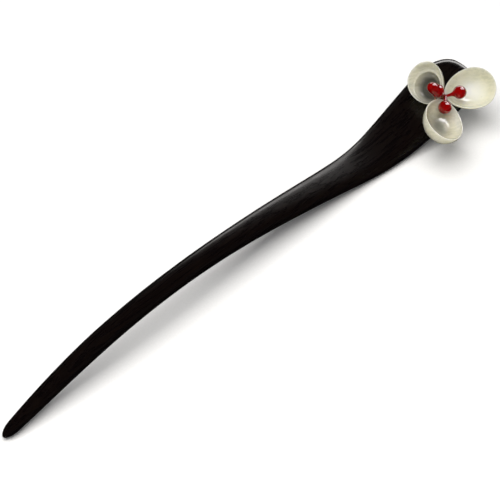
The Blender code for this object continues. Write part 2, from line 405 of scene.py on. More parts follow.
@dataclass(frozen=True)
class WaxedEbony:
    """Ebony heartwood, scraped, sanded and waxed.

    To the eye it is all but black, with faint brown streaks along the stick, closed pores a fraction
    of a millimetre wide, and a wax film that mirrors the lights softly.
    """

    name: str = "ebony_waxed"
    heartwood: str = "#070404"
    streak: str = "#110906"
    streak_width: float = 0.9
    streak_length: float = 24.0
    # Real pores are about 0.1 mm wide. They are drawn twice as wide, so that they show.
    pore_width: float = 0.2
    pore_length: float = 1.8
    pore_depth: float = 0.004
    roughness: tuple[float, float] = (0.22, 0.36)
    # Handling polishes the head's end: how far along the stick's x that starts, and is complete
    handled: tuple[float, float] = (22.0, 30.0)

    def make(self) -> bpy.types.Material:
        """Make the wood.

        Returns:
            The material.
        """
        material, tree, shader = blank_material(self.name)
        where = add_node(tree, "ShaderNodeTexCoord", {}).outputs["Object"]
        streaks = (self.streak_length, self.streak_width, self.streak_width)
        streak_scale = [per_metre(size) for size in streaks]
        grain_place = add_node(tree, "ShaderNodeMapping", {"Scale": streak_scale}, {"Vector": where})
        grain = add_node(
            tree,
            "ShaderNodeTexNoise",
            {"Scale": 1.0, "Detail": 5.0, "Roughness": 0.6, "Distortion": 0.4},
            {"Vector": grain_place.outputs["Vector"]},
        )
        colour = add_node(
            tree,
            "ShaderNodeValToRGB",
            {"stops": [(0.42, linear(self.heartwood)), (0.72, linear(self.streak))]},
            {"Fac": grain.outputs["Fac"]},
        )
        pore_scale = [per_metre(size) for size in (self.pore_length, self.pore_width, self.pore_width)]
        pore_place = add_node(tree, "ShaderNodeMapping", {"Scale": pore_scale}, {"Vector": where})
        pores = add_node(
            tree,
            "ShaderNodeTexNoise",
            {"Scale": 1.0, "Detail": 1.0},
            {"Vector": pore_place.outputs["Vector"]},
        )
        open_pores = add_node(
            tree,
            "ShaderNodeMapRange",
            {"From Min": 0.62, "From Max": 0.72, "To Min": 1.0, "To Max": 0.0},
            {"Value": pores.outputs["Fac"]},
        )
        rough = add_node(
            tree,
            "ShaderNodeMapRange",
            {"From Min": 0.3, "From Max": 0.7, "To Min": self.roughness[0], "To Max": self.roughness[1]},
            {"Value": grain.outputs["Fac"]},
        )
        relief = add_node(
            tree,
            "ShaderNodeBump",
            {"Strength": 0.6, "Distance": self.pore_depth * MM},
            {"Height": open_pores.outputs["Result"]},
        )
        tree.links.new(colour.outputs["Color"], shader.inputs["Base Color"])
        tree.links.new(rough.outputs["Result"], shader.inputs["Roughness"])
        tree.links.new(relief.outputs["Normal"], shader.inputs["Normal"])
        place = add_node(tree, "ShaderNodeSeparateXYZ", {}, {"Vector": where})
        start, full = (x * MM for x in self.handled)
        wax = add_node(
            tree,
            "ShaderNodeMapRange",
            {"From Min": start, "From Max": full, "To Min": 0.1, "To Max": 1.0},
            {"Value": place.outputs["X"]},
        )
        tree.links.new(wax.outputs["Result"], shader.inputs["Coat Weight"])
        shader.inputs["IOR"].default_value = 1.5
        shader.inputs["Specular IOR Level"].default_value = 0.25
        shader.inputs["Coat Roughness"].default_value = 0.1
        return material


@dataclass(frozen=True)
class PaleJade:
    """Pale jade, ground to a thin cup and polished.

    To the eye it is a creamy green-white stone that glows where light comes through it, with cloudy
    patches, fine wavy bands, a few darker specks, and a glassy polish. Where a petal's floor is thin, its
    colour is mixed towards a painted tone that stands for what lies under it: painted shade or painted
    light.
    """

    name: str
    body: str
    cloud: str
    band: str
    # Painted tone mixed in where the floor is thin, for what lies under it: painted shade over the dark
    # wood, painted light over the white table
    painted_through_colour: str
    speck: str = "#8f9479"
    cloud_size: float = 4.5
    band_size: float = 0.55
    speck_size: float = 1.6
    glow_depth: float = 3.0
    # How much of that painted tone is mixed in where the floor is thinnest
    painted_through_share: float = 0.6
    clearness: tuple[float, float] = (0.05, 0.3)
    roughness: float = 0.08
    relief: float = 0.05

    def make(self, thin_attribute: str) -> bpy.types.Material:
        """Make the stone.

        Args:
            thin_attribute: The petal's attribute that says where it is thin. There the stone lets more
                light
            through, and its colour is mixed towards a painted tone for what lies under it.

        Returns:
            The material.
        """
        material, tree, shader = blank_material(self.name)
        where = add_node(tree, "ShaderNodeTexCoord", {}).outputs["Object"]
        body, clouds = two_tone(
            *(tree, where, self.cloud_size, ((0.36, self.cloud), (0.62, self.body))),
            noise={"Detail": 4.0, "Roughness": 0.55, "Distortion": 0.8},
        )
        bands = add_node(
            tree,
            "ShaderNodeTexWave",
            {
                "Scale": per_metre(self.band_size) / math.tau,
                "Distortion": 9.0,
                "Detail": 3.0,
                "Detail Scale": 1.4,
                "bands_direction": "DIAGONAL",
            },
            {"Vector": where},
        )
        band_share = add_node(
            tree,
            "ShaderNodeMapRange",
            {"From Min": 0.55, "From Max": 1.0, "To Min": 0.0, "To Max": 0.4},
            {"Value": bands.outputs["Fac"]},
        )
        banded = add_node(
            tree,
            "ShaderNodeMix",
            {"data_type": "RGBA", 7: linear(self.band)},
            {0: band_share.outputs["Result"], 6: body},
        )
        specks = add_node(
            tree,
            "ShaderNodeTexVoronoi",
            {"Scale": per_metre(self.speck_size), "Randomness": 1.0},
            {"Vector": where},
        )
        speck_share = add_node(
            tree,
            "ShaderNodeMapRange",
            {"From Min": 0.03, "From Max": 0.14, "To Min": 0.45, "To Max": 0.0},
            {"Value": specks.outputs["Distance"]},
        )
        speckled = add_node(
            tree,
            "ShaderNodeMix",
            {"data_type": "RGBA", 7: linear(self.speck)},
            {0: speck_share.outputs["Result"], 6: banded.outputs[2]},
        )
        thin = add_node(
            tree, "ShaderNodeAttribute", {"attribute_name": thin_attribute, "attribute_type": "GEOMETRY"}
        )
        # Mix the stone's colour towards the painted tone where the floor is thin: painted shade, and on the
        # end petal painted light
        painted_through_mix = add_node(
            tree, "ShaderNodeMapRange", {"To Max": self.painted_through_share}, {"Value": thin.outputs["Fac"]}
        )
        with_painted_through = add_node(
            tree,
            "ShaderNodeMix",
            {"data_type": "RGBA", 7: linear(self.painted_through_colour)},
            {0: painted_through_mix.outputs["Result"], 6: speckled.outputs[2]},
        )
        clear = add_node(
            tree,
            "ShaderNodeMapRange",
            {"To Min": self.clearness[0], "To Max": self.clearness[1]},
            {"Value": thin.outputs["Fac"]},
        )
        polish = add_node(
            tree,
            "ShaderNodeMapRange",
            {"To Min": self.roughness * 0.7, "To Max": self.roughness * 1.8},
            {"Value": clouds},
        )
        relief = add_node(
            tree,
            "ShaderNodeBump",
            {"Strength": 0.25, "Distance": self.relief * MM},
            {"Height": clouds},
        )
        tree.links.new(with_painted_through.outputs[2], shader.inputs["Base Color"])
        tree.links.new(clear.outputs["Result"], shader.inputs["Transmission Weight"])
        tree.links.new(polish.outputs["Result"], shader.inputs["Roughness"])
        tree.links.new(relief.outputs["Normal"], shader.inputs["Normal"])
        shader.inputs["IOR"].default_value = 1.6
        shader.inputs["Subsurface Weight"].default_value = 0.7
        shader.inputs["Subsurface Radius"].default_value = (1.0, 0.95, 0.7)
        shader.inputs["Subsurface Scale"].default_value = self.glow_depth * MM
        shader.inputs["Coat Weight"].default_value = 0.8
        shader.inputs["Coat Roughness"].default_value = 0.03
        return material


@dataclass(frozen=True)
class RedGlass:
    """Deep red lampwork glass, fire polished.

    To the eye it is dark blood red in its middle and brighter where it is thin, with sharp small
    highlights.
    """

    name: str = "red_lampwork_glass"
    colour: str = "#a60303"
    deep: str = "#8a0202"
    swirl_size: float = 1.6
    clearness: float = 0.3

    def make(self) -> bpy.types.Material:
        """Make the glass.

        Returns:
            The material.
        """
        material, tree, shader = blank_material(self.name)
        where = add_node(tree, "ShaderNodeTexCoord", {}).outputs["Object"]
        colour, _ = two_tone(
            *(tree, where, self.swirl_size, ((0.35, self.deep), (0.65, self.colour))),
            noise={"Detail": 3.0, "Distortion": 1.5},
        )
        tree.links.new(colour, shader.inputs["Base Color"])
        shader.inputs["Roughness"].default_value = 0.04
        shader.inputs["IOR"].default_value = 1.52
        shader.inputs["Transmission Weight"].default_value = self.clearness
        shader.inputs["Coat Weight"].default_value = 0.8
        shader.inputs["Coat Roughness"].default_value = 0.03
        return material


@dataclass(frozen=True)
class CopperWire:
    """Drawn copper wire, half tarnished.

    To the eye it is a warm orange metal with duller brown patches.
    """

    name: str = "copper_wire_drawn"
    bright: str = "#e08a5e"
    tarnish: str = "#8a4a30"
    patch_size: float = 0.9
    roughness: tuple[float, float] = (0.42, 0.18)

    def make(self) -> bpy.types.Material:
        """Make the copper.

        Returns:
            The material.
        """
        material, tree, shader = blank_material(self.name)
        where = add_node(tree, "ShaderNodeTexCoord", {}).outputs["Object"]
        colour, patches = two_tone(
            *(tree, where, self.patch_size, ((0.4, self.tarnish), (0.6, self.bright))),
            noise={"Detail": 4.0},
        )
        dull, polished = self.roughness
        rough = add_node(
            tree, "ShaderNodeMapRange", {"To Min": dull, "To Max": polished}, {"Value": patches}
        )
        tree.links.new(colour, shader.inputs["Base Color"])
        tree.links.new(rough.outputs["Result"], shader.inputs["Roughness"])
        shader.inputs["Metallic"].default_value = 1.0
        return material


@dataclass(frozen=True)
class ClearCement:
    """Two-part jeweller's cement, set hard.

    To the eye it is a slightly amber, cloudy resin with a glossy skin.
    """

    name: str = "clear_cement"
    colour: str = "#8d7c60"
    cloud: str = "#5e5140"
    cloud_size: float = 0.8
    relief: float = 0.05

    def make(self) -> bpy.types.Material:
        """Make the cement.

        Returns:
            The material.
        """
        material, tree, shader = blank_material(self.name)
        where = add_node(tree, "ShaderNodeTexCoord", {}).outputs["Object"]
        colour, clouds = two_tone(
            *(tree, where, self.cloud_size, ((0.35, self.cloud), (0.65, self.colour))),
            noise={"Detail": 3.0},
        )
        relief = add_node(
            tree,
            "ShaderNodeBump",
            {"Strength": 0.4, "Distance": self.relief * MM},
            {"Height": clouds},
        )
        tree.links.new(colour, shader.inputs["Base Color"])
        tree.links.new(relief.outputs["Normal"], shader.inputs["Normal"])
        shader.inputs["Roughness"].default_value = 0.22
        shader.inputs["IOR"].default_value = 1.52
        shader.inputs["Transmission Weight"].default_value = 0.3
        return material


# The stick


@dataclass
class Stick:
    """The ebony stick: its bend, its cross-sections, and the seat of the flower on its head."""

    length: float = 180.0
    rest_face_x: float = 140.0
    centre_height: SmoothCurve = SmoothCurve(
        ((0, 1.3), (30, 9.5), (62, 12.3), (95, 9.4), (123, 4.3), (140, 1.98), (155, 3.9), (180, 10.3))
    )
    centre_drift: SmoothCurve = SmoothCurve(
        ((0, 0), (100, 0), (130, -0.35), (150, -0.25), (165, 0.2), (180, 0.9))
    )
    half_width: SmoothCurve = SmoothCurve(
        (
            *((0, 1.65), (12, 2.35), (57, 3.05), (85, 3.55), (110, 4.5)),
            *((133, 5.85), (150, 7.85), (166, 9.1), (180, 9.1)),
        )
    )
    half_thickness: SmoothCurve = SmoothCurve(
        ((0, 1.45), (12, 2), (50, 2.5), (90, 2.4), (140, 2.1), (180, 1.9))
    )
    squareness: SmoothCurve = SmoothCurve(((0, 2), (80, 2.2), (140, 2.7), (180, 3)))
    point_round: float = 4.0
    end_round: float = 14.0
    end_squareness: float = 2.5
    rim_round: float = 2.0
    # Where along the stick the head's own edge starts, and is complete
    edge_from: float = 150.0
    edge_full: float = 162.0
    # That edge, in from its outline: a round side up to the first slope, then slopes that ease off
    edge_slopes: tuple[float, ...] = (45.0, 30.0, 21.0, 0.0)
    edge_runs: tuple[float, ...] = (0.9, 0.9, 0.55)
    section_points: int = 64
    section_step: float = 2.5
    seat_x: float = 164.0
    seat_y: float = -4.2
    bore_radius: float = 1.5
    recess_radius: float = 3.9
    recess_depth: float = 2.0
    cover_radius: float = 3.6
    cover_thickness: float = 0.7
    cover_bevel: float = 0.08
    # How far a cutter reaches past the surface that it starts from
    overrun: float = 2.0
    wave_size: float = 14.0
    wave_height: float = 0.07
    finish: WaxedEbony = WaxedEbony()

    def spine(self, x: float) -> tuple[Vector, Vector]:
        """Follow the stick's middle.

        Args:
            x: The distance from its point.

        Returns:
            The centre there, in metres, and the way across its thickness.
        """
        rise = self.centre_height.at(x + 0.5) - self.centre_height.at(x - 0.5)
        centre = Vector((x - self.rest_face_x, self.centre_drift.at(x), self.centre_height.at(x)))
        return centre * MM, Vector((-rise, 0, 1)).normalized()

    def section(self, x: float) -> tuple[float, float, float]:
        """Measure the cross-section.

        Args:
            x: The distance from the stick's point.

        Returns:
            The half width and half thickness there, in metres, and the squareness.
        """
        wide, thick = self.half_width.at(x), self.half_thickness.at(x)
        if x < self.point_round:
            nose = math.sqrt(max(0, 1 - (1 - x / self.point_round) ** 2))
            wide *= nose
            thick *= nose
        end = min(1, (x - (self.length - self.end_round)) / self.end_round)
        if end > 0:
            wide *= (1 - end**self.end_squareness) ** (1 / self.end_squareness)
        rim = min(1, (x - (self.length - self.rim_round)) / self.rim_round)
        if rim > 0:
            thick *= math.sqrt(1 - rim * rim)
        return wide * MM, thick * MM, self.squareness.at(x)

    def surface_point(self, x: float, y: float, side: int = 1) -> Vector:
        """Find a point of the stick's surface.

        Args:
            x: The distance from its point.
            y: The sideways place.
            side: 1 for the top and -1 for the back.

        Returns:
            The point, in metres.
        """
        centre, across = self.spine(x)
        wide, thick, power = self.section(x)
        aside = y * MM - centre.y
        height = thick * (1 - abs(aside / wide) ** power) ** (1 / power)
        return centre + Vector((0, aside, 0)) + across * height * side

    def seat(self) -> Matrix:
        """Return the placement on the head's top with z out of the wood, along the bore."""
        return frame_at(self.surface_point(self.seat_x, self.seat_y), X_AXIS, self.spine(self.seat_x)[1])

    def back_depth(self) -> float:
        """Return where the head's back is on the bore's axis, in metres below the seat."""
        return (self.seat().inverted() @ self.surface_point(self.seat_x, self.seat_y, -1)).z

    def stations(self) -> list[float]:
        """Space the cross-sections, closer together at the point and the end.

        Returns:
            Their distances from the point.
        """
        nose = [self.point_round * (1 - math.cos(math.radians(a))) for a in range(8, 90, 8)]
        rim = [self.length - self.end_round * (1 - math.sin(math.radians(a))) for a in range(0, 90, 4)]
        spans = round((rim[0] - self.point_round) / self.section_step)
        body = [self.point_round + (rim[0] - self.point_round) * k / spans for k in range(spans)]
        return nose + body + rim

    def outline(self) -> np.ndarray:
        """Follow one side of the head's outline.

        Returns:
            Its points, one a row, as (distance from the stick's point, half width).
        """
        angles = np.radians(np.arange(0, 90.5, 1.0))
        body = np.arange(self.edge_from - 5, self.length - self.end_round, 0.5)
        distances = np.concatenate([body, self.length - self.end_round * (1 - np.sin(angles))])
        return np.array([(x, self.section(min(x, self.length))[0] / MM) for x in distances])

    def edge_height(self, from_edge: float, flat: float) -> float:
        """Return how high the head is at a distance in from its outline.

        Args:
            from_edge: The distance, in millimetres.
            flat: The height of the head's flat above its middle, in millimetres.

        Returns:
            The height above the middle, in millimetres.
        """
        slopes = [math.tan(math.radians(slope)) for slope in self.edge_slopes]
        spans = list(zip(self.edge_runs, slopes, slopes[1:]))
        turn = math.radians(self.edge_slopes[0])
        side = (flat - sum(run * (low + high) / 2 for run, low, high in spans)) / math.cos(turn)
        past_side = from_edge - side * (1 - math.sin(turn))
        if past_side < 0:
            return math.sqrt(side**2 - (side - from_edge) ** 2)
        height = side * math.cos(turn)
        for run, low, high in spans:
            reach = min(run, past_side)
            height += reach * (low + (high - low) * reach / run / 2)
            past_side -= reach
        return height

    def blank(self) -> bpy.types.Object:
        """Carve the whole bar, before anything is drilled in it.

        Returns:
            The bar as one closed mesh: a long round bar is scored at each station, and each ring of
            points is then drawn in to the cross-section there.
        """
        bpy.ops.object.select_all(action="DESELECT")
        bpy.ops.mesh.primitive_cylinder_add(
            vertices=self.section_points,
            radius=MM,
            depth=self.length * MM,
            end_fill_type="TRIFAN",
            location=((self.length / 2 - self.rest_face_x) * MM, 0, 0),
            rotation=(0, math.pi / 2, 0),
        )
        bar = bpy.context.object
        settle(bar, Matrix.Identity(4))
        with editing(bar):
            for x in self.stations():
                bpy.ops.mesh.select_all(action="SELECT")
                bpy.ops.mesh.bisect(plane_co=((x - self.rest_face_x) * MM, 0, 0), plane_no=(1, 0, 0))
        outline = self.outline()
        for vertex in bar.data.vertices:
            x = min(self.length, max(0, vertex.co.x / MM + self.rest_face_x))
            centre, across = self.spine(x)
            wide, thick, power = self.section(x)
            y, z = vertex.co.y / MM, vertex.co.z / MM
            y, z = (math.copysign(abs(value) ** (2 / power), value) for value in (y, z))
            height = z * thick
            shaped = min(1, max(0, (x - self.edge_from) / (self.edge_full - self.edge_from)))
            if shaped and abs(z) > 0.001:
                away = np.hypot(outline[:, 0] - x, outline[:, 1] - abs(y) * wide / MM).min()
                flat = self.edge_height(float(away), self.half_thickness.at(x)) * MM
                height += shaped * (math.copysign(flat, z) - height)
            vertex.co = centre + Vector((0, y * wide, 0)) + across * height
        with editing(bar):
            bpy.ops.mesh.select_all(action="SELECT")
            bpy.ops.mesh.remove_doubles(threshold=0.005 * MM)
            bpy.ops.mesh.normals_make_consistent(inside=False)
        smooth(bar, 1)
        ripple(bar, self.wave_size, self.wave_height)
        return bar

    def cutter(self, radius: float, low: float, high: float) -> bpy.types.Object:
        """Make a cylinder on the bore's axis.

        Args:
            radius: Its radius.
            low: Where its lower end is, in metres from the seat.
            high: Where its upper end is, in metres from the seat.

        Returns:
            The cylinder.
        """
        bpy.ops.object.select_all(action="DESELECT")
        bpy.ops.mesh.primitive_cylinder_add(
            vertices=64, radius=radius * MM, depth=high - low, location=(0, 0, (low + high) / 2)
        )
        tool = bpy.context.object
        settle(tool, self.seat())
        return tool

    def build(self) -> bpy.types.Object:
        """Carve the stick, flatten its rest face, and drill its bore and its recess.

        Returns:
            The stick.
        """
        bar = self.blank()
        bpy.ops.object.select_all(action="DESELECT")
        bpy.ops.mesh.primitive_cube_add(size=2 * self.length * MM, location=(0, 0, -self.length * MM))
        cut(bar, bpy.context.object)
        back = self.back_depth()
        cut(bar, self.cutter(self.bore_radius, back - self.overrun * MM, self.overrun * MM))
        recess_floor = back + self.recess_depth * MM
        cut(bar, self.cutter(self.recess_radius, back - self.overrun * MM, recess_floor))
        shade(bar)
        return fit(bar, "ebony_bar", "ebony", "ebony_stick")

    def build_cover(self) -> bpy.types.Object:
        """Turn the thin inlay that closes the recess, flush with the back of the head.

        Returns:
            The inlay.
        """
        back = self.back_depth()
        inner_face = back + self.cover_thickness * MM
        cover = self.cutter(self.cover_radius, back - self.overrun * MM, inner_face)
        cut(cover, self.blank(), "INTERSECT")
        edge = self.cover_bevel * MM
        apply_modifier(cover, "BEVEL", width=edge, segments=2, angle_limit=math.radians(60))
        shade(cover)
        return fit(cover, "back_inlay", "ebony", "rear_cover")

    def dress(self, *pieces: bpy.types.Object) -> None:
        """Give the ebony pieces their finish."""
        dress(self.finish.make(), *pieces)


# The flower


@dataclass(frozen=True)
class Hollow:
    """The inside of a cupped petal, ground down from its rim in rings.

    A ring is (its size as a share of the rim's outline, its depth in millimetres). The wide ones above
    the well make the thick wall, and the well's floor is thin. The well is set off sideways.
    """

    wall: tuple[tuple[float, float], ...]
    well: tuple[tuple[float, float], ...]
    offset: tuple[float, float] = (0.0, 0.0)
    # How far the floor's deepest place is from the well's middle
    lean: tuple[float, float] = (0.0, 0.0)
    # How far in from the well's edge the stone takes to thin out, as a share of the well
    fade: float = 0.8


@dataclass
class Petal:
    """One cupped petal: an egg-shaped half shell, its narrow tip near the hub."""

    side: Side
    heading: float
    tilt: float
    roll: float
    tip: tuple[float, float, float]
    length: float
    width: float
    depth: float
    narrowing: float
    hollow: Hollow
    finish: PaleJade
    # The rounded rim, as rings like those of the hollow
    rim: tuple[tuple[float, float], ...] = ((0.992, -0.07), (0.975, -0.1), (0.95, -0.03))
    hole_depth: float = 1.3
    hole_radius: float = 0.3
    # Where along the petal the hole's middle is, and how long its drill is
    hole_middle: float = 0.8
    drill_length: float = 3.0
    wave_size: float = 3.5
    wave_height: float = 0.06
    thin_attribute: str = "thinness"

    def placing(self, hub: Vector) -> Matrix:
        """Return the placement at the petal's tip, x along the petal and z out of its cup."""
        return aimed(hub + Vector(self.tip) * MM, self.heading, self.tilt, self.roll)

    def shell(self) -> bpy.types.Object:
        """Grind the outside from half a ball, and hollow it ring by ring down to the middle.

        Returns:
            The petal, not yet drilled, with its tip at the origin and x along it.
        """
        half = self.length / 2 * MM
        bpy.ops.object.select_all(action="DESELECT")
        bpy.ops.mesh.primitive_uv_sphere_add(segments=64, ring_count=32, radius=half, location=(half, 0, 0))
        petal = bpy.context.object
        petal.name = "jade_" + self.side.value
        settle(petal, Matrix.Identity(4))
        with editing(petal):
            pick(petal, lambda place: place.z > half * 0.001)
            bpy.ops.mesh.delete(type="VERT")
            bpy.ops.mesh.select_all(action="SELECT")
            flatten = (1, self.width / self.length, self.depth * MM / half)
            bpy.ops.transform.resize(value=flatten, center_override=(0, 0, 0))
        for vertex in petal.data.vertices:
            vertex.co.y *= 1 + self.narrowing * (vertex.co.x / half - 1)
        size, depth, aside = 1.0, 0.0, Vector((0, 0))
        with editing(petal):
            pick(petal, lambda place: place.z > -0.001 * MM)
            for share, down in (*self.rim, *self.hollow.wall, *self.hollow.well):
                lower = {"value": (0, 0, (depth - down) * MM)}
                bpy.ops.mesh.extrude_region_move(TRANSFORM_OT_translate=lower)
                centre = (half + aside.x, aside.y, -down * MM)
                shrink = (share / size, share / size, 1)
                bpy.ops.transform.resize(value=shrink, center_override=centre)
                step = Vector((0, 0))
                if (share, down) in self.hollow.wall:
                    step = Vector(self.hollow.offset) * MM / len(self.hollow.wall)
                elif (share, down) in self.hollow.well:
                    step = Vector(self.hollow.lean) * MM / len(self.hollow.well)
                bpy.ops.transform.translate(value=(step.x, step.y, 0))
                aside += step
                size, depth = share, down
            bpy.ops.mesh.merge(type="CENTER")
            bpy.ops.mesh.select_all(action="SELECT")
            bpy.ops.mesh.normals_make_consistent(inside=False)
        return petal

    def mark_thin_stone(self, petal: bpy.types.Object) -> None:
        """Give the petal an attribute that is 1 where its floor is thin and 0 in its thick wall.

        Args:
            petal: The petal, still with its tip at the origin.
        """
        half = self.length / 2
        edge = self.hollow.well[0][0]
        layer = petal.data.attributes.new(self.thin_attribute, "FLOAT", "POINT")
        for vertex, mark in zip(petal.data.vertices, layer.data):
            along = (vertex.co.x / MM - half - self.hollow.offset[0]) / half
            half_width = self.width / 2 * (1 + self.narrowing * along)
            across = (vertex.co.y / MM - self.hollow.offset[1]) / half_width
            reach = math.hypot(along, across) / edge
            mark.value = min(1, max(0, (1.05 - reach) / self.hollow.fade))

    def build(self, hub: Vector) -> bpy.types.Object:
        """Shape the petal, drill it for its wire and put it in place.

        Args:
            hub: Where the three glass necks meet, in metres.

        Returns:
            The petal.
        """
        petal = self.shell()
        smooth(petal, 1)
        ripple(petal, self.wave_size, self.wave_height)
        lying = Matrix.Rotation(math.pi / 2, 4, "Y")
        bpy.ops.object.select_all(action="DESELECT")
        bpy.ops.mesh.primitive_cylinder_add(
            vertices=32, radius=self.hole_radius * MM, depth=self.drill_length * MM
        )
        drill = bpy.context.object
        hole = Vector((self.hole_middle, 0, -self.hole_depth)) * MM
        settle(drill, Matrix.Translation(hole) @ lying)
        cut(petal, drill)
        self.mark_thin_stone(petal)
        settle(petal, self.placing(hub))
        shade(petal, 50)
        name = self.side.value
        return fit(petal, "jade_petal_" + name, "petal_stone", "petal_" + name)

    def dress(self, petal: bpy.types.Object) -> None:
        """Give the petal its stone."""
        dress(self.finish.make(self.thin_attribute), petal)


@dataclass
class Stamen:
    """One glass drop: a ball that runs into a thin neck."""

    side: Side
    heading: float
    tilt: float
    reach: float
    tail: float = 0.0
    ball_radius: float = 2.0
    neck_radius: float = 0.42
    neck_start: float = 0.12
    # (radius, distance below the ball's centre), where the ball runs out into its neck
    shoulder: tuple[tuple[float, float], ...] = ((1.16, 1.58), (0.92, 1.82), (0.7, 2.12), (0.52, 2.45))
    # (radius as a share of the neck's, distance past the neck's start), where it ends at the hub
    foot: tuple[tuple[float, float], ...] = ((1.0, 0.35), (1.2, 0.1), (0.8, 0.0))
    # How near to the neck's start the shoulder may come
    shoulder_end: float = 0.45
    # The ball's rings, and how far from its lower pole it opens into the shoulder
    ball_rings: int = 24
    mouth_angle: float = 45.0
    # The latitude from which a tail is drawn out, and how much fuller than the ball it gets
    tail_from: float = 30.0
    tail_fullness: float = 0.42

    def neck_rings(self) -> list[tuple[float, float]]:
        """List the rings from the ball to the neck's foot.

        Returns:
            Each ring's radius and height along the drop, in metres.
        """
        rings = [(radius, self.reach - below) for radius, below in self.shoulder]
        rings = [ring for ring in rings if ring[1] > self.neck_start + self.shoulder_end]
        rings += [(self.neck_radius * share, self.neck_start + past) for share, past in self.foot]
        return [(radius * MM, height * MM) for radius, height in rings]

    def draw_tail(self, drop: bpy.types.Object) -> None:
        """Draw the ball's far end out into a full, blunt tail.

        Args:
            drop: The drop, still upright with its neck's start near the origin.
        """
        radius = self.ball_radius * MM
        low = self.reach * MM + radius * math.sin(math.radians(self.tail_from))
        high = self.reach * MM + radius
        for vertex in drop.data.vertices:
            share = max(0, (vertex.co.z - low) / (high - low))
            fuller = 1 + self.tail_fullness * share
            vertex.co.x *= fuller
            vertex.co.y *= fuller
            vertex.co.z += self.tail * MM * share

    def build(self, hub: Vector) -> bpy.types.Object:
        """Blow the drop as a ball with its neck drawn out towards the hub.

        Args:
            hub: Where the three glass necks meet, in metres.

        Returns:
            The drop, in place.
        """
        radius, centre = self.ball_radius * MM, self.reach * MM
        bpy.ops.object.select_all(action="DESELECT")
        bpy.ops.mesh.primitive_uv_sphere_add(
            segments=2 * self.ball_rings, ring_count=self.ball_rings, radius=radius, location=(0, 0, centre)
        )
        drop = bpy.context.object
        settle(drop, Matrix.Identity(4))
        mouth, half_ring = math.radians(self.mouth_angle), math.radians(90 / self.ball_rings)
        with editing(drop):
            pick(drop, lambda place: place.z < centre - radius * math.cos(mouth - half_ring))
            bpy.ops.mesh.delete(type="VERT")
            pick(drop, lambda place: place.z < centre - radius * math.cos(mouth + half_ring))
            wide, high = radius * math.sin(mouth), centre - radius * math.cos(mouth)
            for ring_wide, ring_high in self.neck_rings():
                lower = {"value": (0, 0, ring_high - high)}
                bpy.ops.mesh.extrude_region_move(TRANSFORM_OT_translate=lower)
                shrink = (ring_wide / wide, ring_wide / wide, 1)
                bpy.ops.transform.resize(value=shrink, center_override=(0, 0, ring_high))
                wide, high = ring_wide, ring_high
            bpy.ops.mesh.edge_face_add()
            bpy.ops.mesh.select_all(action="SELECT")
            bpy.ops.mesh.normals_make_consistent(inside=False)
        if self.tail:
            self.draw_tail(drop)
        smooth(drop, 1)
        out = aimed(hub, self.heading, self.tilt).to_3x3() @ X_AXIS
        settle(drop, frame_at(hub, Z_AXIS, out))
        shade(drop, 60)
        name = self.side.value
        return fit(drop, "glass_drop_" + name, "red_glass", "stamen_" + name)


